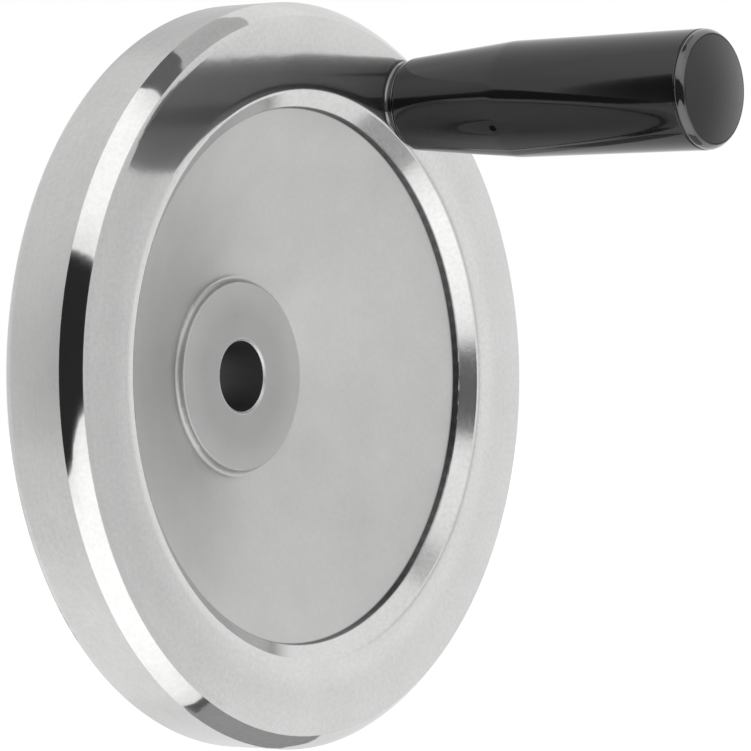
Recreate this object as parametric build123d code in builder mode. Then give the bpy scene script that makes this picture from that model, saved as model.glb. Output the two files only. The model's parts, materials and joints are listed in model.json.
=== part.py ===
"""Machine handwheel: a dished aluminium disc wheel with a revolving grip on its rim.

The wheel turns about Y. Its front, with the grip, faces -Y and the machine is at +Y.
The origin is the middle of the shaft bore. Millimetres, +Z up.
"""
from build123d import *
from math import cos, radians, sin, sqrt
import os

# ---------------------------------------------------------------- driving dimensions, mm
# Wheel, radii from the shaft axis and depths along it
wheel_diameter = 125.0
bore_diameter = 12.0
bore_chamfer = 0.35
hub_length = 20.0
hub_recess = 15.3          # from the seat of the grip on the rim to the front face of the hub
hub_diameter = 32.2
hub_boss_height = 1.6      # how far the hub face stands out of the dished web
hub_back_chamfer = 1.0
front_ring_width = 12.5    # flat, polished ring on the front of the rim, rolled at both edges
front_ring_rise = 0.12     # height of its flat above the seat of the grip
inner_roll_width = 1.9
inner_roll_drop = 0.165
outer_roll_width = 1.2
outer_roll_drop = 0.07
bevel_width = 2.35         # rounded bevel between the front ring and the side of the rim
bevel_depth = 2.9
bevel_bulge = 0.17
inner_chamfer_width = 2.7
inner_chamfer_depth = 2.4
web_step = 1.15            # short wall between the inner chamfer and the web
web_thickness = 5.0        # measured along the axis
rim_depth = 14.8
rim_back_width = 13.4      # flat turned back of the rim
rim_root_offset = 1.2      # where the rim's rear wall meets the web, outside the step

# Rounding
crest_radius = 1.2         # between the front ring and the inner chamfer
step_corner_radius = 0.3
hub_face_radius = 0.25
hub_root_radius = 0.7
rim_back_radius = 1.9
rim_inner_radius = 1.4
web_back_radius = 3.0

# Grip, placed on the rim by its inset and an angle, heights from its seat on the rim
grip_inset = 7.7           # from the side of the rim to the grip's axis
grip_angle = 31.5          # degrees from +Z toward +X
grip_length = 60.85
grip_base_diameter = 15.95
grip_knee_diameter = 19.8
grip_knee_height = 22.35
grip_knee_radius = 18.0
grip_head_diameter = 20.1
grip_base_radius = 0.5
collar_diameter = 15.6
collar_thickness = 0.85
collar_neck_diameter = 14.8     # the collar flares out from a short neck on the rim
collar_neck_height = 0.35
collar_flare_height = 0.75
journal_diameter = 9.06
journal_tail = 1.2         # past the retaining ring's groove
journal_chamfer = 0.5
sleeve_bore_diameter = 9.2
sleeve_chamber_diameter = 14.5
sleeve_chamber_depth = 15.4
thread_diameter = 8.0
thread_length = 13.6
thread_chamfer = 0.8
thread_relief_diameter = 6.4
thread_relief_width = 1.6
socket_across_flats = 4.0
socket_depth = 4.5
washer_diameter = 13.6
washer_thickness = 1.0
ring_thickness = 1.0
ring_width = 1.9
ring_groove_depth = 0.55
ring_gap_angle = 70.0
cap_rim_height = 1.5
cap_face_diameter = 18.7
cap_edge_bulge = 0.24     # rounded edge between the cap's face and its joint
cap_face_dome = 0.12
cap_face_groove = 0.16     # fine groove round the face
cap_joint_radius = 0.35    # rounding on both sides of the joint between cap and sleeve
cap_spigot_length = 4.0
cap_wall = 1.3

# Clearances
seat_clearance = 0.1       # round the collar's spot face
thread_clearance = 0.05
axial_play = 0.15          # of the revolving sleeve, at each end
fixed_clearance = 0.05     # between pieces that are pushed together
groove_clearance = 0.1

# ---------------------------------------------------------------- worked-out places
hub_back_y = hub_length / 2
hub_front_y = -hub_length / 2
front_y = hub_front_y - hub_recess
ring_y = front_y - front_ring_rise

wheel_radius = wheel_diameter / 2
bore_radius = bore_diameter / 2
hub_radius = hub_diameter / 2
crest_outer_radius = wheel_radius - bevel_width
crest_inner_radius = crest_outer_radius - front_ring_width
step_radius = crest_inner_radius - inner_chamfer_width
bevel_y = front_y + bevel_depth
chamfer_foot_y = front_y + inner_chamfer_depth
web_rim_y = chamfer_foot_y + web_step
web_hub_y = hub_front_y + hub_boss_height
web_fall = (web_hub_y - web_rim_y) / (step_radius - hub_radius)
rim_back_y = front_y + rim_depth
rim_root_radius = step_radius + rim_root_offset
rim_root_y = web_rim_y + web_thickness - rim_root_offset * web_fall

grip_circle_radius = wheel_radius - grip_inset
grip_x = grip_circle_radius * sin(radians(grip_angle))
grip_z = grip_circle_radius * cos(radians(grip_angle))
collar_radius = collar_diameter / 2
collar_neck_radius = collar_neck_diameter / 2
journal_radius = journal_diameter / 2
sleeve_bore_radius = sleeve_bore_diameter / 2
chamber_radius = sleeve_chamber_diameter / 2
thread_radius = thread_diameter / 2
relief_radius = thread_relief_diameter / 2
groove_radius = journal_radius - ring_groove_depth
sleeve_base_height = collar_thickness + axial_play
sleeve_top_height = grip_length - cap_rim_height
sleeve_shoulder_height = sleeve_top_height - sleeve_chamber_depth
washer_height = sleeve_shoulder_height + axial_play
ring_height = washer_height + washer_thickness
groove_top_height = ring_height + ring_thickness + groove_clearance
journal_end_height = groove_top_height + journal_tail
ring_inner_radius = groove_radius + fixed_clearance
ring_outer_radius = ring_inner_radius + ring_width


def grip_plane():
    """Drawing plane through the grip's axis: x is the radius, y the row's Y."""
    return Plane(origin=(grip_x, 0, grip_z), x_dir=(1, 0, 0), z_dir=(0, 0, 1))


def grip_axis():
    """The grip's own axis, parallel to the shaft bore."""
    return Axis((grip_x, 0, grip_z), (0, 1, 0))


def cross_plane(height):
    """Plane square to the grip's axis, facing the operator, at a height above the rim."""
    return Plane(origin=(grip_x, front_y - height, grip_z), x_dir=(1, 0, 0), z_dir=(0, -1, 0))


def at(radius, height):
    """Point of a grip outline from its radius and its height above its seat on the rim."""
    return (radius, front_y - height)


def corners(sketch, *points):
    """The sketch's corners nearest to the given points."""
    vertices = sketch.vertices()
    return [vertices.sort_by_distance(Vector(*point, 0))[0] for point in points]


# ---------------------------------------------------------------- wheel
hub_front_corner = (hub_radius, hub_front_y)
hub_root_corner = (hub_radius, web_hub_y)
step_corner = (step_radius, chamfer_foot_y)
inner_crest = (crest_inner_radius, ring_y + inner_roll_drop)
inner_roll_start = (crest_inner_radius + inner_roll_width, ring_y)
inner_roll_middle = (crest_inner_radius + inner_roll_width / 2, ring_y + inner_roll_drop / 4)
outer_crest = (crest_outer_radius, ring_y + outer_roll_drop)
outer_roll_start = (crest_outer_radius - outer_roll_width, ring_y)
outer_roll_middle = (crest_outer_radius - outer_roll_width / 2, ring_y + outer_roll_drop / 4)
rim_back_corner = (wheel_radius, rim_back_y)
rim_inner_corner = (wheel_radius - rim_back_width, rim_back_y)
rim_root_corner = (rim_root_radius, rim_root_y)
hub_back_root_corner = (hub_radius, web_hub_y + web_thickness)

with BuildPart() as wheel:
    # Half section: hub, dished web, stepped chamfer, rolled ring, rounded bevel, rim back.
    with BuildSketch(Plane.XY) as section:
        with BuildLine():
            Polyline(
                (bore_radius, hub_front_y), hub_front_corner, hub_root_corner,
                (step_radius, web_rim_y), step_corner, inner_crest,
            )
            ThreePointArc(inner_crest, inner_roll_middle, inner_roll_start)
            Line(inner_roll_start, outer_roll_start)
            ThreePointArc(outer_roll_start, outer_roll_middle, outer_crest)
            SagittaArc(outer_crest, (wheel_radius, bevel_y), -bevel_bulge)
            Polyline(
                (wheel_radius, bevel_y), rim_back_corner, rim_inner_corner, rim_root_corner,
                hub_back_root_corner, (hub_radius, hub_back_y), (bore_radius, hub_back_y),
                (bore_radius, hub_front_y),
            )
        make_face()
        fillet(corners(section, rim_root_corner, hub_back_root_corner), web_back_radius)
        fillet(corners(section, rim_back_corner), rim_back_radius)
        fillet(corners(section, rim_inner_corner), rim_inner_radius)
        fillet(corners(section, hub_root_corner), hub_root_radius)
        fillet(corners(section, hub_front_corner), hub_face_radius)
        fillet(corners(section, step_corner), step_corner_radius)
        fillet(corners(section, inner_crest), crest_radius)
        chamfer(corners(section, (hub_radius, hub_back_y)), hub_back_chamfer)
        chamfer(corners(section, (bore_radius, hub_front_y), (bore_radius, hub_back_y)), bore_chamfer)
    revolve(axis=Axis.Y)

    # Spot face in the ring under the spindle's collar, and its tapped hole.
    with BuildSketch(cross_plane(0)):
        Circle(collar_radius + seat_clearance)
    extrude(amount=2 * front_ring_rise, mode=Mode.SUBTRACT)
    with BuildSketch(cross_plane(0)):
        Circle(thread_radius + thread_clearance)
    extrude(amount=-rim_depth, mode=Mode.SUBTRACT)
wheel.part.label = "wheel"

# ---------------------------------------------------------------- grip spindle
relief_height = -thread_relief_width
thread_end_height = -thread_length

with BuildPart() as grip_spindle:
    # Threaded stud with its relief, flared collar, journal and the groove for the retaining ring.
    with BuildSketch(grip_plane()) as spindle_section:
        with BuildLine():
            Polyline(
                at(0, thread_end_height), at(thread_radius, thread_end_height),
                at(thread_radius, relief_height), at(relief_radius, relief_height),
                at(relief_radius, 0), at(collar_neck_radius, 0), at(collar_neck_radius, collar_neck_height),
                at(collar_radius, collar_flare_height), at(collar_radius, collar_thickness),
                at(journal_radius, collar_thickness), at(journal_radius, ring_height),
                at(groove_radius, ring_height), at(groove_radius, groove_top_height),
                at(journal_radius, groove_top_height), at(journal_radius, journal_end_height),
                at(0, journal_end_height), at(0, thread_end_height),
            )
        make_face()
        chamfer(corners(spindle_section, at(thread_radius, thread_end_height)), thread_chamfer)
        chamfer(corners(spindle_section, at(journal_radius, journal_end_height)), journal_chamfer)
    revolve(axis=grip_axis())

    # Hexagon socket in the end of the stud, reached from behind the rim.
    with BuildSketch(cross_plane(thread_end_height)):
        RegularPolygon(socket_across_flats / 2, 6, major_radius=False)
    extrude(amount=socket_depth, mode=Mode.SUBTRACT)
grip_spindle.part.label = "grip_spindle"

# ---------------------------------------------------------------- washer and retaining ring
with BuildPart() as grip_washer:
    with BuildSketch(cross_plane(washer_height)):
        Circle(washer_diameter / 2)
        Circle(journal_radius + groove_clearance, mode=Mode.SUBTRACT)
    extrude(amount=washer_thickness)
grip_washer.part.label = "grip_washer"

with BuildPart() as grip_retaining_ring:
    with BuildSketch(cross_plane(ring_height)):
        Circle(ring_outer_radius)
        Circle(ring_inner_radius, mode=Mode.SUBTRACT)
        # Opening that lets the ring spring over the journal.
        with BuildLine():
            reach = 2 * ring_outer_radius
            half_gap = ring_gap_angle / 2
            Polyline(
                (0, 0), (reach * cos(radians(half_gap)), reach * sin(radians(half_gap))),
                (reach * cos(radians(half_gap)), -reach * sin(radians(half_gap))), (0, 0),
            )
        make_face(mode=Mode.SUBTRACT)
    extrude(amount=ring_thickness)
grip_retaining_ring.part.label = "grip_retaining_ring"

# ---------------------------------------------------------------- revolving sleeve
knee_corner = at(grip_knee_diameter / 2, grip_knee_height)
base_corner = at(grip_base_diameter / 2, sleeve_base_height)
head_corner = at(grip_head_diameter / 2, sleeve_top_height)

with BuildPart() as grip_sleeve:
    # Tapered foot, knee and nearly straight body outside; bore, shoulder and chamber inside.
    with BuildSketch(grip_plane()) as sleeve_section:
        with BuildLine():
            Polyline(
                at(sleeve_bore_radius, sleeve_base_height), base_corner, knee_corner, head_corner,
                at(chamber_radius, sleeve_top_height), at(chamber_radius, sleeve_shoulder_height),
                at(sleeve_bore_radius, sleeve_shoulder_height), at(sleeve_bore_radius, sleeve_base_height),
            )
        make_face()
        fillet(corners(sleeve_section, knee_corner), grip_knee_radius)
        fillet(corners(sleeve_section, base_corner), grip_base_radius)
        fillet(corners(sleeve_section, head_corner), cap_joint_radius)
    revolve(axis=grip_axis())
grip_sleeve.part.label = "grip_sleeve"

# ---------------------------------------------------------------- end cap
cap_foot_corner = at(grip_head_diameter / 2, sleeve_top_height)
cap_face_radius = cap_face_diameter / 2
cap_face_corner = at(cap_face_radius, grip_length)
dome_radius = cap_face_radius - cap_face_groove
spigot_radius = chamber_radius - fixed_clearance
spigot_foot_height = sleeve_top_height - cap_spigot_length

with BuildPart() as grip_end_cap:
    # Domed face in a fine groove, rounded edge and a hollow spigot pushed into the sleeve.
    with BuildSketch(grip_plane()) as cap_section:
        with BuildLine():
            ThreePointArc(
                at(0, grip_length + cap_face_dome),
                at(dome_radius / 2, grip_length + cap_face_dome * 3 / 4),
                at(dome_radius, grip_length),
            )
            Polyline(
                at(dome_radius, grip_length),
                at(dome_radius + cap_face_groove / 2, grip_length - cap_face_groove / 2),
                cap_face_corner,
            )
            SagittaArc(cap_face_corner, cap_foot_corner, -cap_edge_bulge)
            Polyline(
                cap_foot_corner, at(spigot_radius, sleeve_top_height), at(spigot_radius, spigot_foot_height),
                at(spigot_radius - cap_wall, spigot_foot_height),
                at(spigot_radius - cap_wall, sleeve_top_height),
                at(0, sleeve_top_height), at(0, grip_length + cap_face_dome),
            )
        make_face()
        fillet(corners(cap_section, cap_foot_corner), cap_joint_radius)
        chamfer(corners(cap_section, at(spigot_radius, spigot_foot_height)), cap_wall / 3)
    revolve(axis=grip_axis())
grip_end_cap.part.label = "grip_end_cap"

# ---------------------------------------------------------------- files
os.makedirs("parts", exist_ok=True)
export_step(wheel.part, "parts/wheel.step")
export_step(grip_spindle.part, "parts/grip_spindle.step")
export_step(grip_washer.part, "parts/grip_washer.step")
export_step(grip_retaining_ring.part, "parts/grip_retaining_ring.step")
export_step(grip_sleeve.part, "parts/grip_sleeve.step")
export_step(grip_end_cap.part, "parts/grip_end_cap.step")
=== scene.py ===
"""Machine handwheel: finishes, threaded grip spindle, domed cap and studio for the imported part.

The shaft bore runs along Y, the grip points to -Y and +Z is up. Meshes are in metres in the part's
own frame. Patterns on the pieces are worked out in millimetres.
"""

import json
from math import cos, radians, sin, tau
from typing import NamedTuple

import bmesh
import bpy
import numpy as np
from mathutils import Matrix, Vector


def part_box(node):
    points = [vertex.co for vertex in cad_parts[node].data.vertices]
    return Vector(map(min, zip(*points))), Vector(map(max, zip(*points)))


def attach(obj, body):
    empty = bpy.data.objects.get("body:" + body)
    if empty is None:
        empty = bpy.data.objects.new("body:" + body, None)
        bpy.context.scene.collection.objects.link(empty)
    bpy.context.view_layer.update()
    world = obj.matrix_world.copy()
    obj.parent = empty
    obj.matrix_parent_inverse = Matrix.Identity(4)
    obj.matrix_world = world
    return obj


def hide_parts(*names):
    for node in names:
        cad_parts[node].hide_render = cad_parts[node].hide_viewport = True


bl_info = {
    "name": "Machine handwheel",
    "version": (1, 0, 0),
    "blender": (4, 5, 0),
    "location": "View3D > Sidebar > Handwheel",
    "description": "Finishes, threaded spindle and studio for a handwheel with a revolving grip",
    "category": "Object",
}

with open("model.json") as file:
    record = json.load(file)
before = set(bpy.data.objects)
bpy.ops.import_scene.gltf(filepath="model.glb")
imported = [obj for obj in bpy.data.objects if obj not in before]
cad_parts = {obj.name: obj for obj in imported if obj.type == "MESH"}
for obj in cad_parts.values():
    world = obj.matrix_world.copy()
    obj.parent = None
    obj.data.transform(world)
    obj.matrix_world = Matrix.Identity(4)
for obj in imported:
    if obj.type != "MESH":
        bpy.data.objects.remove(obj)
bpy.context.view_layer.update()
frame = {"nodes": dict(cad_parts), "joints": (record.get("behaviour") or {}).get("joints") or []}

MM = 0.001
GRIP_AXIS = frame["joints"][0]["pos_m"]
SPINDLE_LOW, SPINDLE_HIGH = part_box("grip_spindle")

# Start and end of each zone of the wheel's front, mm from the axis. Between the end of one zone and
# the start of the next, the one finish blends into the other.
HOLE_EDGE = (0.0, 6.3)
HUB_INSIDE = (6.4, 10.5)
HUB_OUTSIDE = (14.75, 15.6)
HUB_FOOT = (15.9, 16.2)
WEB = (16.55, 44.8)
STEP = (44.9, 45.0)
CHAMFER = (45.1, 47.3)
RING_INSIDE = (47.8, 50.3)
RING_MIDDLE = (53.0, 55.0)
RING_OUTSIDE = (58.15, 60.1)
BEVEL = (60.15, 62.5)

# The same for its back
HUB_BACK = (6.4, 15.85)
CAST_BACK = (15.95, 48.5)
RIM_BACK = (48.6, 62.5)

# Limits of the bore's wall, the web and the side, mm from the axis
WALL_LIMIT = 6.03
WEB_START = 15.95
WEB_END = 44.9
SIDE_LIMIT = 61.0
WHEEL_RADIUS = 62.5

# Places along Y, mm: the ends of the side, and the middle of the sloping web
SIDE_FRONT_Y = -22.4
SIDE_BACK_Y = -10.6
WEB_MIDDLE_AT_HUB = -5.9
WEB_SLOPE = -0.463

# Crest between chamfer and ring, and the roll that follows it: their limits, mm from the axis, and
# the sine of the slope on the chamfer and where the roll starts
CREST_START = 47.4
CREST_END = 48.01
ROLL_END = 49.55
CHAMFER_SINE = 0.657
ROLL_SINE = 0.143

# Where the exact normal is used: its limits, mm from the axis, and how well it has to agree with
# the mesh's own normal, from 0 for a right angle to 1 for the same
EXACT_START = 45.35
EXACT_END = 58.75
LEAST_AGREEMENT = 0.88


# ---------------------------------------------------------------- settings
def share(name, description, default):
    """A setting between 0 and 1."""
    return bpy.props.FloatProperty(
        name=name, description=description, default=default, min=0, max=1, subtype="FACTOR"
    )


def length(name, description, default_mm):
    """A size, given in mm and kept in metres."""
    return bpy.props.FloatProperty(
        name=name, description=description, default=default_mm * MM, precision=5, unit="LENGTH"
    )


def colour(name, description, default):
    """A linear colour."""
    return bpy.props.FloatVectorProperty(
        name=name, description=description, default=default, size=3, min=0, max=1, subtype="COLOR"
    )


class HandwheelStudio(bpy.types.PropertyGroup):
    """Camera, floor, lamp and panels."""

    view_azimuth: bpy.props.FloatProperty(
        name="View azimuth", description="Camera's direction round the wheel, from its front",
        default=radians(-53.6289), subtype="ANGLE",
    )
    view_elevation: bpy.props.FloatProperty(
        name="View elevation", description="Camera's direction above the shaft's level",
        default=radians(-0.2153), subtype="ANGLE",
    )
    view_roll: bpy.props.FloatProperty(
        name="View roll", description="Camera's lean about its own line of sight",
        default=radians(0.2924), subtype="ANGLE",
    )
    view_distance: length("View distance", "From the camera to the point it looks at", 752)
    aim_point: bpy.props.FloatVectorProperty(
        name="Aim point", description="Point that the camera looks at",
        default=(0.005867, -0.033539, -0.00003), size=3, precision=6, subtype="TRANSLATION",
    )
    lens: bpy.props.FloatProperty(
        name="Lens", description="Focal length on a 36 mm wide sensor", default=215.71,
        unit="CAMERA",
    )
    floor_height: length("Floor height", "Height of the floor below the shaft's axis", -100)
    floor_size: length("Floor size", "Side of the square floor", 14000)
    floor_colour: colour("Floor colour", "Pale matt floor", (0.9, 0.9, 0.9))
    lamp_strength: bpy.props.FloatProperty(
        name="Lamp strength", description="Soft overhead lamp that gives the floor its shadow",
        default=0.9, min=0,
    )
    lamp_softness: bpy.props.FloatProperty(
        name="Lamp softness", description="Angle that the lamp fills", default=radians(25),
        subtype="ANGLE",
    )
    panel_centre: bpy.props.FloatVectorProperty(
        name="Panel centre", description="Middle of the sphere that the softboxes and flags lie on",
        default=(0, -0.025, 0), size=3, precision=4, subtype="TRANSLATION",
    )
    panel_distance: length("Panel distance", "From the panel centre to softboxes and flags", 220)


class HandwheelMetal(bpy.types.PropertyGroup):
    """Tone and roughness of each turned, polished or blasted zone of the wheel."""

    tint: colour("Aluminium tint", "Colour of the bare metal at full tone", (1.0, 1.0, 0.992))
    # The bore's tone is kept low as painted shade inside the hole.
    bore_shaded_tone: share("Bore tone", "Brightness of the bored hole", 0.145)
    bore_roughness: share("Bore roughness", "Finish of the bored hole", 0.55)
    # The broken edge of the hole has a raised tone as a painted highlight.
    lead_highlight_tone: share("Lead tone", "Brightness of the broken edge of the hole", 0.72)
    lead_roughness: share("Lead roughness", "Finish of the broken edge of the hole", 0.5)
    hub_tone: share("Hub tone", "Brightness of the faced hub", 0.41)
    hub_roughness: share("Hub roughness", "Finish of the faced hub", 0.3)
    web_tone: share("Web tone", "Brightness of the blasted web", 0.56)
    web_roughness: share("Web roughness", "Finish of the blasted web", 0.38)
    # The step's tone is kept low as painted shade in the corner round the web.
    step_shaded_tone: share("Step tone", "Brightness of the short wall round the web", 0.12)
    step_roughness: share("Step roughness", "Finish of the short wall round the web", 0.3)
    chamfer_tone: share("Chamfer tone", "Brightness of the inner chamfer", 0.64)
    chamfer_roughness: share("Chamfer roughness", "Finish of the inner chamfer", 0.13)
    ring_tone: share("Ring tone", "Brightness of the polished front ring", 0.608)
    ring_roughness: share("Ring roughness", "Finish of the polished front ring", 0.085)
    bevel_tone: share("Bevel tone", "Brightness of the polished bevel", 0.66)
    bevel_roughness: share("Bevel roughness", "Finish of the polished bevel", 0.06)
    side_tone: share("Side tone", "Brightness of the satin side", 0.53)
    side_roughness: share("Side roughness", "Finish of the satin side", 0.24)
    back_tone: share("Back tone", "Brightness of the faced back of the rim and hub", 0.6)
    back_roughness: share("Back roughness", "Finish of the faced back of the rim and hub", 0.3)
    cast_tone: share("Cast tone", "Brightness of the blasted back of the web", 0.5)
    cast_roughness: share("Cast roughness", "Finish of the blasted back of the web", 0.55)
    grain_size: length("Grain size", "Spacing of the blasted grain", 0.45)
    line_spacing: length("Line spacing", "Spacing of the turning lines", 0.22)


class HandwheelGrip(bpy.types.PropertyGroup):
    """Black grip and the steel pieces inside it."""

    sleeve_black: colour("Sleeve black", "Gloss moulded sleeve", (0.005, 0.005, 0.0054))
    sleeve_roughness: share("Sleeve roughness", "Gloss of the sleeve", 0.055)
    cap_black: colour("Cap black", "Satin moulded end cap", (0.009, 0.009, 0.0095))
    cap_roughness: share("Cap roughness", "Finish of the cap's face", 0.3)
    grip_length: length("Grip length", "From the rim to the edge of the cap's face", 61.0)
    cap_rim: length("Cap rim", "Height of the cap's rounded edge", 1.65)
    cap_dome: length("Cap dome", "Height of the cap's domed face over its edge", 1.3)
    cap_radius: length("Cap radius", "Radius of the cap at its joint with the sleeve", 10.05)
    face_radius: length("Face radius", "Radius of the cap's face", 9.12)
    face_groove: length("Face groove", "Width of the fine groove round the face", 0.16)
    edge_bulge: length("Edge bulge", "How far the cap's edge is rounded out", 0.24)
    joint_rounding: length("Joint rounding", "Rounding at the joint of cap and sleeve", 0.35)
    spigot_radius: length("Spigot radius", "Outside of the cap's hollow spigot", 7.2)
    spigot_length: length("Spigot length", "Length of the cap's hollow spigot", 4.0)
    cap_wall: length("Cap wall", "Wall of the cap's spigot", 1.3)
    steel: colour("Steel", "Zinc plated spindle and washer", (0.62, 0.63, 0.65))
    steel_roughness: share("Steel roughness", "Finish of the plated steel", 0.16)
    spring_steel: colour("Spring steel", "Oiled retaining ring", (0.24, 0.24, 0.25))
    spring_roughness: share("Spring steel roughness", "Finish of the oiled steel", 0.3)
    thread_radius: length("Thread radius", "Outside radius of the stud's thread", 4.0)
    thread_pitch: length("Thread pitch", "Advance of the thread in one turn", 1.25)
    thread_length: length("Thread length", "Length of the stud below the rim's front", 13.6)
    end_chamfer: length("End chamfer", "Lead-in at the end of the thread", 0.8)
    relief_radius: length("Relief radius", "Radius of the groove between thread and collar", 3.2)
    relief_width: length("Relief width", "Width of the groove between thread and collar", 1.6)
    socket_across: length("Socket across flats", "Hexagon socket in the end of the stud", 4.0)
    socket_depth: length("Socket depth", "Depth of the hexagon socket", 4.5)
    collar_radius: length("Collar radius", "Radius of the bright collar on the rim", 7.8)
    collar_thickness: length("Collar thickness", "Thickness of the bright collar", 0.85)
    neck_radius: length("Neck radius", "Radius of the collar's neck on the rim", 7.4)
    neck_height: length("Neck height", "Height of the collar's neck above the rim", 0.35)
    flare_height: length("Flare height", "Height at which the collar has its full radius", 0.75)
    journal_radius: length("Journal radius", "Radius of the pin that the grip turns on", 4.53)
    groove_depth: length("Groove depth", "Depth of the retaining ring's groove", 0.55)
    groove_width: length("Groove width", "Width of the retaining ring's groove", 1.1)
    journal_tail: length("Journal tail", "Length of pin past the groove", 1.2)
    edge_break: length("Edge break", "Small chamfer on the turned steel edges", 0.12)


# ---------------------------------------------------------------- meshes
def grid_faces(rows, columns, wrap):
    """Quads between neighbouring rows and columns of a grid of points, as four whole index arrays.

    With wrap, the last column joins the first, so the surface closes round its axis.
    """
    index = np.arange(rows * columns).reshape(rows, columns)
    after = np.roll(index, -1, axis=1) if wrap else index[:, 1:]
    here = index if wrap else index[:, :-1]
    return np.stack([here[:-1], after[:-1], after[1:], here[1:]], axis=-1).reshape(-1, 4)


def mesh_object(name, points, faces, material):
    """A mesh object at the origin from whole arrays of points (metres) and faces (quads)."""
    mesh = bpy.data.meshes.new(name)
    mesh.from_pydata(points.tolist(), [], faces.tolist())
    mesh.materials.append(material)
    made = bpy.data.objects.new(name, mesh)
    bpy.context.scene.collection.objects.link(made)
    return made


def sky_point(azimuth, elevation):
    """Unit direction: azimuth runs from the front (-Y) toward +X, elevation up from level."""
    azimuth, elevation = np.radians(azimuth), np.radians(elevation)
    return np.stack(
        [
            np.sin(azimuth) * np.cos(elevation),
            -np.cos(azimuth) * np.cos(elevation),
            np.sin(elevation),
        ],
        axis=-1,
    )


def panel_surface(corners, centre, distance, rings=24, steps=10):
    """Curved panel with the given (azimuth, elevation) corners, on a sphere round a centre.

    Each edge runs straight between two corners. A point is the mean of the corners moved a share
    0..1 of the way to the edge, then pushed out to the sphere. Returns points, faces and shares.
    """
    edge = sky_point(*np.array(corners, float).T)
    following = np.roll(edge, -1, axis=0)
    walk = np.linspace(0, 1, steps, endpoint=False)[None, :, None]
    outline = (edge[:, None] * (1 - walk) + following[:, None] * walk).reshape(-1, 3)
    middle = edge.mean(axis=0)
    out = np.linspace(0, 1, rings)[:, None, None]
    points = middle * (1 - out) + outline[None] * out
    points = np.array(centre) + points * distance / np.linalg.norm(points, axis=-1, keepdims=True)
    shares = np.repeat(np.linspace(0, 1, rings), len(outline))
    return points.reshape(-1, 3), grid_faces(rings, len(outline), True), shares


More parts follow.
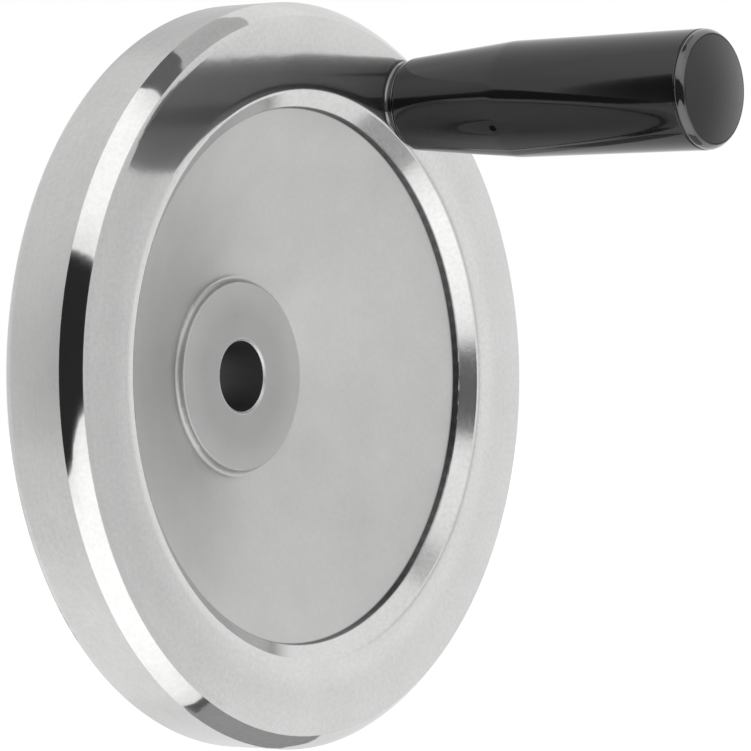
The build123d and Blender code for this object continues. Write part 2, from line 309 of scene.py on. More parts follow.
# ---------------------------------------------------------------- material graphs
class Graph:
    """A material's node tree, with short calls for the nodes that the finishes share."""

    def __init__(self, name):
        self.material = bpy.data.materials.new(name)
        self.material.use_nodes = True
        self.tree = self.material.node_tree
        self.shader = self.tree.nodes["Principled BSDF"]

    def node(self, kind, inputs=None, **values):
        """A node. inputs gives each socket a constant or another node's output."""
        made = self.tree.nodes.new(kind)
        for key, value in values.items():
            setattr(made, key, value)
        for key, value in (inputs or {}).items():
            self.put(made, key, value)
        return made

    def put(self, node, key, value):
        """Links an output to a socket, or sets the socket's constant."""
        if isinstance(value, bpy.types.NodeSocket):
            self.tree.links.new(value, node.inputs[key])
        else:
            node.inputs[key].default_value = value

    def finish(self, **sockets):
        """Sets the shader's sockets, named with underscores for spaces."""
        for key, value in sockets.items():
            self.put(self.shader, key.replace("_", " "), value)
        return self.material

    def math(self, operation, first, second):
        """One step of arithmetic on two numbers."""
        made = self.node("ShaderNodeMath", {0: first, 1: second}, operation=operation)
        return made.outputs[0]

    def times(self, *factors):
        """Product of two or more numbers, taken from the left."""
        product = factors[0]
        for factor in factors[1:]:
            product = self.math("MULTIPLY", product, factor)
        return product

    def centred(self, noise, strength):
        """Noise that varies round 0 in place of 0.5, times a strength."""
        return self.times(self.math("SUBTRACT", noise, 0.5), strength)

    def fade(self, value, low, high, start=0.0, end=1.0):
        """Goes from start to end while value goes from low to high, and stays there outside."""
        made = self.node("ShaderNodeMapRange", {0: value, 1: low, 2: high, 3: start, 4: end})
        return made.outputs[0]

    def spread(self, noise, low, high):
        """Takes a noise's usual range, 0.3 to 0.7, to low and high."""
        return self.fade(noise, 0.3, 0.7, low, high)

    def mix(self, share_of_second, first, second):
        """Number between first and second."""
        sockets = {0: share_of_second, 2: first, 3: second}
        return self.node("ShaderNodeMix", sockets, data_type="FLOAT").outputs[0]

    def noise(self, vector, scale, detail=2.0, roughness=0.5):
        """Soft noise from about 0.2 to 0.8 with one grain per 1/scale mm."""
        sockets = {"Vector": vector, "Scale": scale, "Detail": detail, "Roughness": roughness}
        return self.node("ShaderNodeTexNoise", sockets).outputs[0]

    def tinted(self, tint, tone):
        """A colour times a tone."""
        return self.vector("SCALE", tint, Scale=tone)

    def place(self, centre=(0, 0, 0)):
        """Point on the piece, in mm from a centre that is given in metres."""
        scale = 1 / MM
        source = self.node("ShaderNodeTexCoord").outputs["Object"]
        shift = [-value * scale for value in centre]
        sockets = {"Vector": source, "Location": shift, "Scale": [scale] * 3}
        return self.node("ShaderNodeMapping", sockets).outputs[0]

    def round_axis(self, point):
        """A point's radius from the Y axis, its Y, and its direction round the axis."""
        parts = self.node("ShaderNodeSeparateXYZ", {0: point}).outputs
        flat = self.node("ShaderNodeCombineXYZ", {0: parts[0], 2: parts[2]}).outputs[0]
        return self.vector("LENGTH", flat), parts[1], self.vector("NORMALIZE", flat)

    def lines(self, radius, depth, around, spacing, run):
        """Turning lines: noise that changes every spacing mm across the cut and slowly along it."""
        across = self.math("DIVIDE", self.math("ADD", radius, depth), spacing)
        along = self.node("ShaderNodeSeparateXYZ", {0: around}).outputs
        sockets = {0: across, 1: self.times(along[0], run), 2: self.times(along[2], run)}
        return self.noise(self.node("ShaderNodeCombineXYZ", sockets).outputs[0], 1.0)

    def steps(self, value, reach, stops):
        """Value read off straight lines between (place, value) stops, places from 0 to reach."""
        made = self.node("ShaderNodeValToRGB", {0: self.math("DIVIDE", value, reach)})
        elements = made.color_ramp.elements
        elements.remove(elements[1])
        elements[0].position = stops[0][0] / reach
        for place, _ in stops[1:]:
            elements.new(place / reach)
        for element, (_, level) in zip(elements, stops):
            element.color = (level, level, level, 1)
        return made.outputs[0]

    def vector(self, operation, first, second=None, **named):
        """One step of vector arithmetic. A length or a dot product gives a number."""
        sockets = {0: first, **({} if second is None else {1: second}), **named}
        made = self.node("ShaderNodeVectorMath", sockets, operation=operation)
        return made.outputs["Value" if operation in ("LENGTH", "DOT_PRODUCT") else "Vector"]

    def bump(self, height, distance, under=None):
        """Normal of a surface whose height varies by distance mm over the normal under it."""
        sockets = {"Height": height, "Distance": distance * MM, "Strength": 1.0}
        if under is not None:
            sockets["Normal"] = under
        return self.node("ShaderNodeBump", sockets).outputs[0]


def dress(node, material):
    """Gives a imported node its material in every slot."""
    for place in frame["nodes"][node].material_slots:
        place.material = material


# ---------------------------------------------------------------- stage
WHITE = (1, 1, 1, 1)
SENSOR_WIDTH = 36         # mm
NEAR_CLIP = 0.01          # m
FAR_CLIP = 50             # m
FLOOR_LINES = 9           # of the floor's grid, each way
LAMP_TILT = radians(25)   # about X, from straight down
LAMP_LEAN = radians(-20)  # about Y

# Softboxes and flags round the wheel: name, share of the panel distance, light at the middle and at
# the edge, how late the light changes toward the edge, and (azimuth, elevation) corners in degrees.
PANELS = [
    ("front_opening", 1.00, 0.03, 0.9, 20,
     [(-119.5, -14), (-119.5, 22), (-118, 33), (-114.5, 41), (-111, 37.5), (-107, 33.5),
      (-100, 32), (-77, 30), (-63, 28.5), (-50, 26.5), (-42, 24), (-30, 20), (-18, 16.5),
      (-12, 14), (-8, 8), (-7, 2), (-9, -5), (-18, -8.5), (-34, -6), (-47, -6.5), (-55, -10.5),
      (-60, -13), (-65, -16), (-70, -20.5), (-77, -25), (-97, -24)]),
    ("softbox_top", 1.02, 1.43, 1.04, 2,
     [(-119, 37), (-100, 30), (-77, 27.5), (-63, 26.3), (-50, 24.3), (-42, 21.5), (-20, 12),
      (-10, 18), (2, 35), (-8, 44), (-16, 63), (-77.5, 76), (-153, 89), (-150, 70), (-130, 50)]),
    ("flag_top", 1.01, 0.16, 0.3, 16,
     [(-15, 62), (1, 67.5), (178, 89), (-148, 88), (-78, 75)]),
    ("grey_top", 1.015, 0.56, 0.6, 2,
     [(178, 89), (1, 68), (40, 66), (66, 65), (87, 68), (106, 70), (117, 74)]),
    ("softbox_low", 1.02, 1.51, 1.1, 3,
     [(-117, -18), (-97, -22), (-77, -23), (-65, -14), (-55, -8), (-47, -4), (-17, -8), (12, -20),
      (22, -40), (19, -60), (20, -74), (30, -84), (90, -88), (-120, -80), (-117, -50)]),
    ("flag_low", 1.01, 0.12, 0.22, 4,
     [(21, -60), (20, -74), (30, -84), (90, -88), (88, -84), (45, -82), (29, -73), (26, -60)]),
    ("front_shade", 1.025, 0.7, 1.0, 2,
     [(18, 16), (24, 26), (38, 29), (50, 20), (53, 0), (50, -20), (38, -31), (24, -26),
      (18, -12)]),
    ("front_bar", 1.01, 0.6, 0.95, 3,
     [(3, 37), (9, 45), (22, 48), (25, 42), (12, 35)]),
    ("grey_low", 1.015, 0.39, 0.36, 2,
     [(24, -40), (21, -60), (20, -74), (30, -84), (90, -88), (120, -74), (112, -52), (104, -49),
      (90, -48), (70, -42), (50, -38)]),
    ("back_low", 1.02, 1.25, 1.0, 3,
     [(166, -22), (184, -16), (212, -14), (228, -24), (232, -45), (215, -62), (180, -68),
      (160, -62), (156, -42)]),
    ("back_top", 1.02, 0.74, 1.0, 4,
     [(124, 24), (122, 40), (138, 56), (165, 60), (176, 48), (166, 34), (146, 24)]),
]


class HANDWHEEL_OT_stage(bpy.types.Operator):
    """Adds the camera, the pale floor, the soft lamp and the reflected panels"""

    bl_idname = "handwheel.stage"
    bl_label = "Stage"

    def execute(self, context):
        settings = context.scene.handwheel_studio
        scene = context.scene
        scene.view_settings.view_transform = "Standard"

        camera = bpy.data.objects.new("camera", bpy.data.cameras.new("camera"))
        scene.collection.objects.link(camera)
        camera.data.sensor_width = SENSOR_WIDTH
        camera.data.lens = settings.lens
        camera.data.clip_start = NEAR_CLIP
        camera.data.clip_end = FAR_CLIP
        turn, rise = settings.view_azimuth, settings.view_elevation
        away = Vector((sin(turn) * cos(rise), -cos(turn) * cos(rise), sin(rise)))
        camera.location = Vector(settings.aim_point) + away * settings.view_distance
        camera.rotation_euler = (radians(90) - rise, settings.view_roll, turn)
        scene.camera = camera

        world = bpy.data.worlds.new("white_tent")
        world.use_nodes = True
        world.node_tree.nodes["Background"].inputs["Color"].default_value = WHITE
        scene.world = world

        self.floor(settings)
        self.lamp(scene, settings)
        for panel in PANELS:
            self.panel(settings, *panel)
        return {"FINISHED"}

    def floor(self, settings):
        """Flat square under the wheel; metal shows the white tent in its place."""
        half = settings.floor_size / 2
        side = np.linspace(-half, half, FLOOR_LINES)
        across, along = np.meshgrid(side, side)
        points = np.stack([across, along, np.full_like(across, settings.floor_height)], axis=-1)
        graph = Graph("pale_floor")
        material = graph.finish(
            Base_Color=(*settings.floor_colour, 1), Roughness=0.9, Specular_IOR_Level=0.0
        )
        faces = grid_faces(FLOOR_LINES, FLOOR_LINES, False)
        made = mesh_object("floor", points.reshape(-1, 3), faces, material)
        made.visible_glossy = False
        made.visible_shadow = False

    def lamp(self, scene, settings):
        """One soft lamp above the front, left out of the metal's reflections."""
        data = bpy.data.lights.new("lamp", "SUN")
        data.energy = settings.lamp_strength
        data.angle = settings.lamp_softness
        made = bpy.data.objects.new("lamp", data)
        made.rotation_euler = (LAMP_TILT, LAMP_LEAN, 0)
        made.visible_glossy = False
        scene.collection.objects.link(made)

    def panel(self, settings, name, reach, middle, edge, lateness, corners):
        """A softbox or flag that only reflections see; its light goes from middle to edge."""
        distance = reach * settings.panel_distance
        points, faces, shares = panel_surface(corners, settings.panel_centre, distance)
        graph = Graph(name)
        graph.tree.nodes.remove(graph.shader)
        glow = graph.node("ShaderNodeAttribute", attribute_name="glow").outputs["Fac"]
        light = graph.node("ShaderNodeEmission", {"Color": WHITE, "Strength": glow})
        graph.put(graph.tree.nodes["Material Output"], "Surface", light.outputs[0])
        made = mesh_object(name, points, faces, graph.material)
        levels = middle + (edge - middle) * shares**lateness
        glow_values = made.data.attributes.new("glow", "FLOAT", "POINT")
        glow_values.data.foreach_set("value", levels.astype(np.float32))
        made.visible_camera = False
        made.visible_diffuse = False
        made.visible_shadow = False


# ---------------------------------------------------------------- wheel
# Turned and blasted surface: sizes in mm, noises with one grain per 1/scale mm, strengths as shares
LINE_RUN = 6.0           # how fast a turning line changes on its way round
LINE_DEPTH = 0.003
LINE_STRENGTH = 0.12
GRAIN_DEPTH = 0.012
WAVE_SCALE = 0.22        # faint unevenness of the polish
WAVE_DEPTH = 0.012
MOTTLE_SCALE = 1.3
MOTTLE_STRENGTH = 0.3
CLOUD_SCALE = 0.11       # broad, soft change of tone
CLOUD_STRENGTH = 0.16
ROUGHNESS_FOLLOWS = 2.0  # change of roughness for a change of tone

# Painted shade on polished metal seen at a low angle: where its tone starts to fall and is lowest,
# from 0 for a view straight on to 1 for a view along the surface, and the share of its tone that it
# loses
GRAZE_START = 0.6
GRAZE_END = 0.92
GRAZE_SHADE_LOSS = 0.55

# Wide, soft second reflection over the polished ring and the chamfer
HAZE_ROUGHNESS = 0.42
HAZE_IOR = 1.9


class Finish(NamedTuple):
    """Look of one zone of the wheel.

    It has a tone, a roughness, the shares of blasted grain and turning lines in the surface, the
    share of haze over the polish, the strength of the mottle and the painted shade toward a grazing
    view.
    """

    tone: float
    roughness: float
    grain: float = 0.0
    lines: float = 0.0
    haze: float = 0.0
    mottle: float = 0.0
    graze_shade: float = 0.0

    def toned(self, share_of_tone):
        """The same finish, brighter or darker."""
        return self._replace(tone=share_of_tone * self.tone)


def wheel_zones(metal):
    """Front and back zones of the wheel from the bore outwards, each with its edges and finish."""
    # The hole's edge is brighter than the hub as a painted highlight.
    hole_edge = Finish(metal.lead_highlight_tone, metal.lead_roughness, lines=0.3, mottle=0.3)
    hub = Finish(metal.hub_tone, metal.hub_roughness, grain=0.5, lines=0.35, mottle=0.4)
    foot = Finish(metal.web_tone, roughness=0.55, grain=0.6, lines=0.3, mottle=0.4)
    web = Finish(metal.web_tone, metal.web_roughness, grain=1.0, lines=0.1, mottle=0.6)
    # Painted shade: the step wall in the corner round the web is darkened.
    step = Finish(metal.step_shaded_tone, metal.step_roughness, grain=0.5, lines=0.5, mottle=0.5)
    chamfer = Finish(
        metal.chamfer_tone, metal.chamfer_roughness,
        grain=0.3, lines=0.4, haze=1.0, mottle=1.1, graze_shade=1.0,
    )
    ring = Finish(
        metal.ring_tone, metal.ring_roughness, grain=0.03, lines=0.3, haze=1.0, mottle=1.0
    )
    bevel = Finish(metal.bevel_tone, metal.bevel_roughness, lines=0.15, mottle=0.8, graze_shade=0.5)
    faced = Finish(metal.back_tone, metal.back_roughness, grain=0.2, lines=1.0, mottle=0.4)
    cast = Finish(metal.cast_tone, metal.cast_roughness, grain=1.0, lines=0.1, mottle=0.6)
    front = [
        (HOLE_EDGE, hole_edge),
        # Painted shade: the hub is darker toward the bore and lighter toward its outside.
        (HUB_INSIDE, hub.toned(0.92)),
        (HUB_OUTSIDE, hub.toned(1.06)),
        (HUB_FOOT, foot),
        (WEB, web),
        (STEP, step),
        (CHAMFER, chamfer),
        # Painted light: the ring is lighter at its inside and darker in its middle, following its
        # reflection.
        (RING_INSIDE, ring.toned(1.03)),
        (RING_MIDDLE, ring.toned(0.95)),
        (RING_OUTSIDE, ring.toned(0.98)),
        (BEVEL, bevel),
    ]
    back = [(HOLE_EDGE, hole_edge), (HUB_BACK, faced), (CAST_BACK, cast), (RIM_BACK, faced)]
    return front, back


def along_radius(graph, radius, zones, quality):
    """One quality of the zones' finishes as a value that changes with the radius."""
    stops = [(edge, getattr(finish, quality)) for edges, finish in zones for edge in edges]
    return graph.steps(radius, WHEEL_RADIUS, stops)


def rolled_normal(graph, radius, around):
    """Exact normal of the inner chamfer, its crest and the ring's rolled inner edge.

    The sine of the slope is even on the chamfer and falls in a straight line over the crest and
    then over the roll. Where it is far from the mesh's own normal, the mesh's normal stays.
    """
    sine = graph.math(
        "ADD",
        graph.fade(radius, CREST_START, CREST_END, CHAMFER_SINE - ROLL_SINE, 0.0),
        graph.fade(radius, CREST_END, ROLL_END, ROLL_SINE, 0.0),
    )
    cosine = graph.math("POWER", graph.math("SUBTRACT", 1.0, graph.times(sine, sine)), 0.5)
    inward = graph.vector("SCALE", around, Scale=graph.times(sine, -1.0))
    ahead = graph.vector("SCALE", (0.0, -1.0, 0.0), Scale=cosine)
    exact = graph.node(
        "ShaderNodeVectorTransform", {0: graph.vector("ADD", inward, ahead)},
        vector_type="NORMAL", convert_from="OBJECT", convert_to="WORLD",
    ).outputs[0]
    own = graph.node("ShaderNodeNewGeometry").outputs["Normal"]
    share_of_exact = graph.times(
        graph.math("GREATER_THAN", radius, EXACT_START),
        graph.math("LESS_THAN", radius, EXACT_END),
        graph.math("GREATER_THAN", graph.vector("DOT_PRODUCT", exact, own), LEAST_AGREEMENT),
    )
    change = graph.vector("SUBTRACT", exact, own)
    return graph.vector("ADD", own, graph.vector("SCALE", change, Scale=share_of_exact))


def wheel_look(graph, radius, depth, metal):
    """Finish at each point of the wheel, with a node's output for every quality.

    Behind the middle of the web lie the back's zones and before it the front's. Outside both are
    the side, past the bevel and in front of the back, and the wall of the bore.
    """
    on_web = graph.fade(radius, WEB_START, WEB_END, WEB_START, WEB_END)
    fall = graph.times(graph.math("SUBTRACT", on_web, WEB_START), WEB_SLOPE)
    web_middle = graph.math("ADD", fall, WEB_MIDDLE_AT_HUB)
    behind = graph.math("GREATER_THAN", depth, web_middle)
    on_side = graph.times(
        graph.math("GREATER_THAN", depth, SIDE_FRONT_Y),
        graph.math("LESS_THAN", depth, SIDE_BACK_Y),
        graph.math("GREATER_THAN", radius, SIDE_LIMIT),
    )
    on_wall = graph.math("LESS_THAN", radius, WALL_LIMIT)

    front, back = wheel_zones(metal)
    side = Finish(metal.side_tone, metal.side_roughness, grain=0.3, lines=1.0, mottle=0.9)
    # The bore's wall: its low tone is painted shade inside the hole.
    wall = Finish(metal.bore_shaded_tone, metal.bore_roughness, grain=0.3, lines=0.6, mottle=1.0)
    look = []
    for quality in Finish._fields:
        ahead, rear = [along_radius(graph, radius, zones, quality) for zones in (front, back)]
        value = graph.mix(behind, ahead, rear)
        value = graph.mix(on_side, value, getattr(side, quality))
        look.append(graph.mix(on_wall, value, getattr(wall, quality)))
    return Finish(*look)


def wheel_finish(metal):
    """Aluminium whose tone, roughness, grain and turning lines follow the wheel's zones."""
    graph = Graph("wheel_aluminium")
    point = graph.place()
    radius, depth, around = graph.round_axis(point)
    look = wheel_look(graph, radius, depth, metal)

    grain = graph.noise(point, MM / metal.grain_size, detail=2.5, roughness=0.6)
    cloud = graph.noise(point, CLOUD_SCALE, detail=3.0, roughness=0.55)
    wave = graph.noise(point, WAVE_SCALE)
    mottle = graph.noise(point, MOTTLE_SCALE, detail=4.0, roughness=0.65)
    lines = graph.lines(radius, depth, around, metal.line_spacing / MM, LINE_RUN)

    # Mottle and lines darken, lighten and roughen the metal a little; cloud varies it broadly.
    fine = graph.math(
        "ADD",
        graph.centred(mottle, graph.times(look.mottle, MOTTLE_STRENGTH)),
        graph.centred(lines, graph.times(look.lines, LINE_STRENGTH)),
    )
    uneven = graph.math("ADD", fine, graph.centred(cloud, CLOUD_STRENGTH))
    # Painted shade: the tone falls toward a grazing view, on the chamfer and the bevel.
    facing = graph.node("ShaderNodeLayerWeight", {"Blend": 0.5}).outputs["Facing"]
    graze_shade = graph.times(graph.fade(facing, GRAZE_START, GRAZE_END), look.graze_shade)
    shade = graph.times(look.tone, graph.math("SUBTRACT", 1.0, graph.times(graze_shade, GRAZE_SHADE_LOSS)))
    tone = graph.times(shade, graph.math("ADD", 1.0, uneven))
    rough = graph.math("ADD", 1.0, graph.times(fine, ROUGHNESS_FOLLOWS))

    # The turning lines lie on the exact normal, the polish's waves on them, and the grain on top.
    polish = graph.centred(wave, graph.math("SUBTRACT", 1.0, look.grain))
    exact = rolled_normal(graph, radius, around)
    normal = graph.bump(graph.times(lines, look.lines), LINE_DEPTH, exact)
    normal = graph.bump(polish, WAVE_DEPTH, normal)
    normal = graph.bump(graph.times(grain, look.grain), GRAIN_DEPTH, normal)
    return graph.finish(
        Base_Color=graph.tinted(tuple(metal.tint), tone),
        Roughness=graph.times(look.roughness, rough), Metallic=1.0, Normal=normal,
        Coat_Weight=look.haze, Coat_Roughness=HAZE_ROUGHNESS, Coat_IOR=HAZE_IOR,
    )


class HANDWHEEL_OT_wheel(bpy.types.Operator):
    """Finishes the wheel: faced hub, blasted web, polished ring and bevel, satin side and back"""

    bl_idname = "handwheel.wheel"
    bl_label = "Wheel"

    def execute(self, context):
        dress("wheel", wheel_finish(context.scene.handwheel_metal))
        return {"FINISHED"}


# ---------------------------------------------------------------- grip spindle
# Widths of the thread's flat crest and root and its depth, as shares of the pitch
THREAD_CREST = 0.125
THREAD_ROOT = 0.25
THREAD_DEPTH = 0.6134
THREAD_STATIONS = 16       # for each turn
SOCKET_CONE = 0.3          # depth of the drilled cone under the socket, as a share of its width
TIP_BREAKS = 4             # chamfer of the journal's tip, in edge breaks
WELD_DISTANCE = 1e-7       # m
SMOOTH_ANGLE = radians(24)

# Plated steel: sizes in mm, strengths as shares
STEEL_LINE_SPACING = 0.12
STEEL_LINE_RUN = 3.0
STEEL_LINE_STRENGTH = 0.16
STEEL_PATCH_SCALE = 0.8
STEEL_LINE_DEPTH = 0.004
# Painted shade where the collar meets the rim: tone at its neck and the height it brightens over.
NECK_PAINTED_SHADE = 0.12          # tone at the collar's neck, beside full tone at its flare
NECK_PAINTED_SHADE_HEIGHT = 0.12


def rim_front(grip):
    """Y of the rim's front, from which heights on the grip are counted."""
    return SPINDLE_HIGH.y - grip.thread_length


def thread_radius_at(angle, depth, grip):
    """Radius of the stud at an angle and a depth below the rim.

    A helix with flat crests one eighth and flat roots one quarter of the pitch wide and straight
    flanks between them, cut off by the end chamfer and run out into the relief groove.
    """
    turn = depth / grip.thread_pitch - angle / tau
    from_crest = 2 * np.abs(turn - np.floor(turn) - 0.5)
    fall = np.clip((from_crest - THREAD_CREST) / (1 - THREAD_ROOT - THREAD_CREST), 0, 1)
    helix = grip.thread_radius - THREAD_DEPTH * grip.thread_pitch * fall
    lead_in = grip.thread_radius - grip.end_chamfer + (grip.thread_length - depth)
    run_out = grip.relief_radius + (depth - grip.relief_width)
    return np.minimum(helix, np.minimum(lead_in, run_out))


def turned(radii, heights, angle, grip):
    """Surface round the grip's axis, as points and faces.

    Each station has one height above the rim, and a radius at every angle.
    """
    depths = rim_front(grip) - heights[:, None] + np.zeros(len(angle))
    points = np.stack(
        [GRIP_AXIS[0] + radii * np.cos(angle), depths, GRIP_AXIS[2] + radii * np.sin(angle)],
        axis=-1,
    )
    return points.reshape(-1, 3), grid_faces(len(heights), len(angle), True)


def turned_piece(name, surface, material, body, node):
    """A closed, smooth piece from a turned surface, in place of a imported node.

    The points that meet on the axis are joined, so the surface has no hole there.
    """
    made = mesh_object(name, *surface, material)
    mesh = made.data
    edit = bmesh.new()
    edit.from_mesh(mesh)
    bmesh.ops.remove_doubles(edit, verts=edit.verts, dist=WELD_DISTANCE)
    bmesh.ops.recalc_face_normals(edit, faces=edit.faces)
    edit.to_mesh(mesh)
    edit.free()
    mesh.shade_smooth()
    mesh.set_sharp_from_angle(angle=SMOOTH_ANGLE)
    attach(made, body)
    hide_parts(node)


def spindle_surface(grip, columns=96):
    """Spindle as one surface of stations along its outline and angles round the grip's axis.

    The stations go from the middle of the hexagon socket over its rim, up the thread, round the
    collar, along the journal and its ring groove to the middle of the tip. Every station has one
    height above the rim and a radius that is round, hexagonal in the socket, or the thread's.
    """
    angle = np.arange(columns) * tau / columns
    flat = np.abs((angle + tau / 12) % (tau / 6) - tau / 12)
    hexagon = grip.socket_across / 2 / np.cos(flat)
    edge = grip.edge_break
    end = -grip.thread_length
    tip = rim_front(grip) - SPINDLE_LOW.y
    tip_chamfer = TIP_BREAKS * edge
    groove_radius = grip.journal_radius - grip.groove_depth
    groove_top = tip - grip.journal_tail
    groove_foot = groove_top - grip.groove_width

    # Share of the hexagon and height, from the cone under the socket to its rim
    socket_floor = end + grip.socket_depth
    cone = socket_floor + SOCKET_CONE * grip.socket_across
    socket = np.array([(0.0, cone), (1.0, socket_floor), (1.0, end + edge)])
    depths = np.arange(
        grip.thread_length, grip.relief_width, -grip.thread_pitch / THREAD_STATIONS
    )
    outline = np.array([
        (grip.relief_radius, -grip.relief_width), (grip.relief_radius, 0.0),
        (grip.neck_radius, 0.0), (grip.neck_radius, grip.neck_height),
        (grip.collar_radius, grip.flare_height),
        (grip.collar_radius, grip.collar_thickness - edge / 2),
        (grip.collar_radius - edge, grip.collar_thickness),
        (grip.journal_radius, grip.collar_thickness), (grip.journal_radius, groove_foot),
        (groove_radius, groove_foot), (groove_radius, groove_top),
        (grip.journal_radius, groove_top), (grip.journal_radius, tip - tip_chamfer),
        (grip.journal_radius - tip_chamfer, tip), (0.0, tip),
    ])
    radii = np.vstack([
        hexagon * socket[:, :1], hexagon + edge,
        thread_radius_at(angle, depths[:, None], grip), outline[:, :1] + np.zeros(columns),
    ])
    heights = np.concatenate([socket[:, 1], [end], -depths, outline[:, 1]])
    return turned(radii, heights, angle, grip)


def steel_finish(name, base, roughness, neck=None):
    """Plated or oiled steel with fine turning lines and small patches of duller plating.

    Where a neck is given, as two places along Y, the steel goes from dark to bright between them,
    as painted shade where the collar meets the rim.
    """
    graph = Graph(name)
    point = graph.place(GRIP_AXIS)
    radius, depth, around = graph.round_axis(point)
    lines = graph.lines(radius, depth, around, STEEL_LINE_SPACING, STEEL_LINE_RUN)
    patches = graph.noise(point, STEEL_PATCH_SCALE, detail=3.0)
    plating = graph.spread(patches, low=0.9, high=1.06)
    tone = graph.math("ADD", plating, graph.centred(lines, STEEL_LINE_STRENGTH))
    # Painted shade: darker at the neck where the collar meets the rim.
    if neck is not None:
        tone = graph.times(tone, graph.fade(depth, *neck, NECK_PAINTED_SHADE, 1.0))
    return graph.finish(
        Base_Color=graph.tinted(base, tone),
        Roughness=graph.spread(patches, roughness * 0.8, roughness * 1.35),
        Metallic=1.0,
        Normal=graph.bump(lines, STEEL_LINE_DEPTH),
    )


class HANDWHEEL_OT_spindle(bpy.types.Operator):
    """Makes the threaded grip spindle with its collar, journal, ring groove and hexagon socket"""

    bl_idname = "handwheel.spindle"
    bl_label = "Grip spindle"

    def execute(self, context):
        grip = context.scene.handwheel_grip
        neck_top = (rim_front(grip) - grip.neck_height - GRIP_AXIS[1]) / MM
        # The collar's neck is darkened as painted shade where it meets the rim.
        steel = steel_finish(
            "spindle_steel", tuple(grip.steel), grip.steel_roughness,
            (neck_top, neck_top - NECK_PAINTED_SHADE_HEIGHT),
        )
        turned_piece(
            "threaded_spindle", spindle_surface(grip), steel, "wheel", "grip_spindle",
        )
        return {"FINISHED"}


class HANDWHEEL_OT_washer_and_ring(bpy.types.Operator):
    """Finishes the washer and the retaining ring inside the grip"""

    bl_idname = "handwheel.washer_and_ring"
    bl_label = "Washer and retaining ring"

    def execute(self, context):
        grip = context.scene.handwheel_grip
        dress("grip_washer", steel_finish("washer_steel", tuple(grip.steel), grip.steel_roughness))
        oiled = steel_finish("ring_steel", tuple(grip.spring_steel), grip.spring_roughness)
        dress("grip_retaining_ring", oiled)
        return {"FINISHED"}


# ---------------------------------------------------------------- grip
# Moulded plastic: noises with one grain per 1/scale mm, depths in mm
PLASTIC_IOR = 1.5
RIPPLE_SCALE = 0.35
RIPPLE_DEPTH = 0.004
SLEEVE_GRAIN_SCALE = 3.0
CAP_GRAIN_SCALE = 4.5
CAP_GRAIN_DEPTH = 0.004
CAP_COAT_ROUGHNESS = 0.08
CAP_COAT_IOR = 1.72
GLOSS_START = 0.1         # mm outside the edge of the cap's face
GLOSS_FULL = 0.18
LEAD_IN_PART = 3          # the spigot's chamfer is its wall divided by this


def sleeve_finish(grip):
    """Gloss black moulding: a faint ripple of the mould and slightly uneven gloss."""
    graph = Graph("sleeve_black")
    point = graph.place(GRIP_AXIS)
    ripple = graph.noise(point, RIPPLE_SCALE)
    fine = graph.noise(point, SLEEVE_GRAIN_SCALE)
    return graph.finish(
        Base_Color=graph.tinted(
            tuple(grip.sleeve_black), graph.spread(fine, low=0.85, high=1.15)
        ),
        Roughness=graph.spread(ripple, grip.sleeve_roughness * 0.8, grip.sleeve_roughness * 1.3),
        IOR=PLASTIC_IOR, Normal=graph.bump(ripple, RIPPLE_DEPTH),
    )


def cap_finish(grip):
    """Satin face with a fine moulded grain, and a gloss edge round it."""
    graph = Graph("cap_black")
    point = graph.place(GRIP_AXIS)
    radius = graph.round_axis(point)[0]
    grain = graph.noise(point, CAP_GRAIN_SCALE)
    face_edge = grip.face_radius / MM
    on_face = graph.fade(radius, face_edge + GLOSS_FULL, face_edge + GLOSS_START)
    satin = graph.spread(grain, grip.cap_roughness * 0.85, grip.cap_roughness * 1.15)
    return graph.finish(
        Base_Color=graph.tinted(tuple(grip.cap_black), graph.spread(grain, low=0.8, high=1.2)),
        Roughness=graph.mix(on_face, grip.sleeve_roughness, satin), IOR=PLASTIC_IOR,
        Coat_Weight=graph.math("SUBTRACT", 1.0, on_face), Coat_Roughness=CAP_COAT_ROUGHNESS,
        Coat_IOR=CAP_COAT_IOR, Normal=graph.bump(graph.times(grain, on_face), CAP_GRAIN_DEPTH),
    )


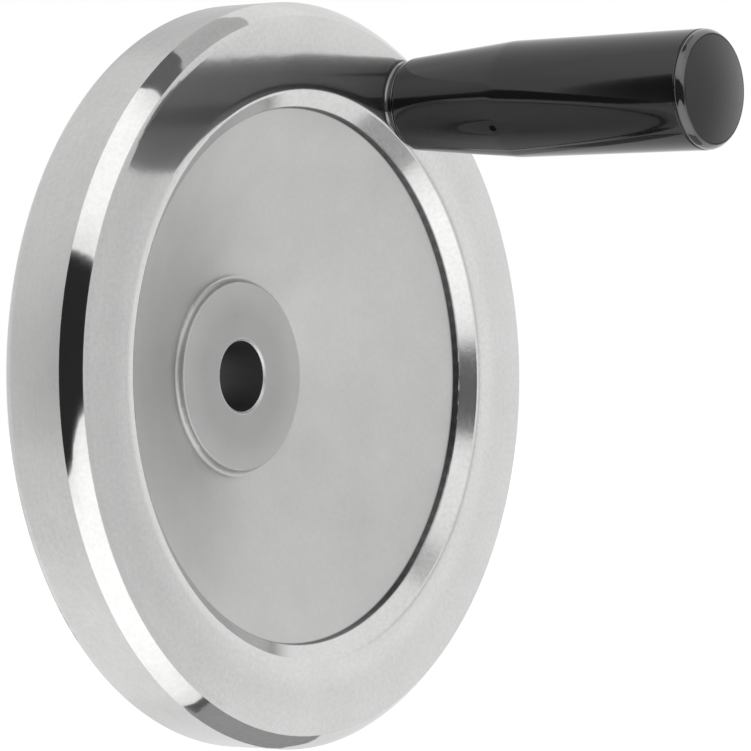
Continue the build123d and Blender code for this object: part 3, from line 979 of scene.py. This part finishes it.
def cap_surface(grip, columns=160, dome_rings=20, edge_rings=10, joint_rings=6):
    """End cap as one surface of stations along its outline and angles round the grip's axis.

    The face is a dome that falls with the square of the radius, inside a fine groove. The edge is
    a straight run pushed out most at its middle, turned into the joint by a curve that bends
    toward the corner, and followed by the hollow spigot.
    """
    angle = np.arange(columns) * tau / columns
    top, joint = grip.grip_length, grip.grip_length - grip.cap_rim
    dome_radius = grip.face_radius - grip.face_groove
    share_out = np.linspace(0, 1, dome_rings)[:, None]
    dome = np.hstack([dome_radius * share_out, top + grip.cap_dome * (1 - share_out**2)])
    half_groove = grip.face_groove / 2
    groove = np.array([[grip.face_radius - half_groove, top - half_groove]])
    start, corner = np.array([grip.face_radius, top]), np.array([grip.cap_radius, joint])
    run = corner - start
    outward = np.array([-run[1], run[0]]) / np.hypot(*run)
    cut = 1 - grip.joint_rounding / grip.cap_rim
    along = np.linspace(0, cut, edge_rings)[:, None]
    edge = start + run * along + outward * (4 * grip.edge_bulge * along * (1 - along))
    inner = corner - np.array([grip.joint_rounding, 0])
    bend = np.linspace(0, 1, joint_rings)[1:, None]
    rounding = edge[-1] * (1 - bend) ** 2 + corner * (2 * bend * (1 - bend)) + inner * bend**2
    foot, hollow = joint - grip.spigot_length, grip.spigot_radius - grip.cap_wall
    lead_in = grip.cap_wall / LEAD_IN_PART
    spigot = np.array([
        [grip.spigot_radius, joint], [grip.spigot_radius, foot + lead_in],
        [grip.spigot_radius - lead_in, foot], [hollow, foot], [hollow, joint], [0.0, joint],
    ])
    outline = np.vstack([dome, groove, edge, rounding, spigot])
    return turned(outline[:, :1] + np.zeros(columns), outline[:, 1], angle, grip)


class HANDWHEEL_OT_grip(bpy.types.Operator):
    """Finishes the gloss black sleeve and makes the satin end cap with its domed face"""

    bl_idname = "handwheel.grip"
    bl_label = "Sleeve and end cap"

    def execute(self, context):
        grip = context.scene.handwheel_grip
        dress("grip_sleeve", sleeve_finish(grip))
        turned_piece(
            "domed_cap", cap_surface(grip), cap_finish(grip), "grip", "grip_end_cap"
        )
        return {"FINISHED"}


# ---------------------------------------------------------------- panel and registration
class HANDWHEEL_PT_sidebar(bpy.types.Panel):
    """Lists the handwheel's pieces and its stage"""

    bl_idname = "HANDWHEEL_PT_sidebar"
    bl_label = "Machine handwheel"
    bl_space_type = "VIEW_3D"
    bl_region_type = "UI"
    bl_category = "Handwheel"

    def draw(self, context):
        for operator in OPERATORS:
            self.layout.operator(operator.bl_idname)


SETTINGS = {
    "handwheel_studio": HandwheelStudio,
    "handwheel_metal": HandwheelMetal,
    "handwheel_grip": HandwheelGrip,
}
OPERATORS = (
    HANDWHEEL_OT_stage, HANDWHEEL_OT_wheel, HANDWHEEL_OT_spindle, HANDWHEEL_OT_washer_and_ring,
    HANDWHEEL_OT_grip,
)


def register():
    for made in (*SETTINGS.values(), *OPERATORS, HANDWHEEL_PT_sidebar):
        bpy.utils.register_class(made)
    for name, group in SETTINGS.items():
        setattr(bpy.types.Scene, name, bpy.props.PointerProperty(type=group))


def unregister():
    for name in SETTINGS:
        delattr(bpy.types.Scene, name)
    for made in (HANDWHEEL_PT_sidebar, *reversed(OPERATORS), *reversed(SETTINGS.values())):
        bpy.utils.unregister_class(made)


def main():
    """Registers the classes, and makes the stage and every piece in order."""
    register()
    bpy.ops.handwheel.stage()
    bpy.ops.handwheel.wheel()
    bpy.ops.handwheel.spindle()
    bpy.ops.handwheel.washer_and_ring()
    bpy.ops.handwheel.grip()


if __name__ == "__main__":
    main()
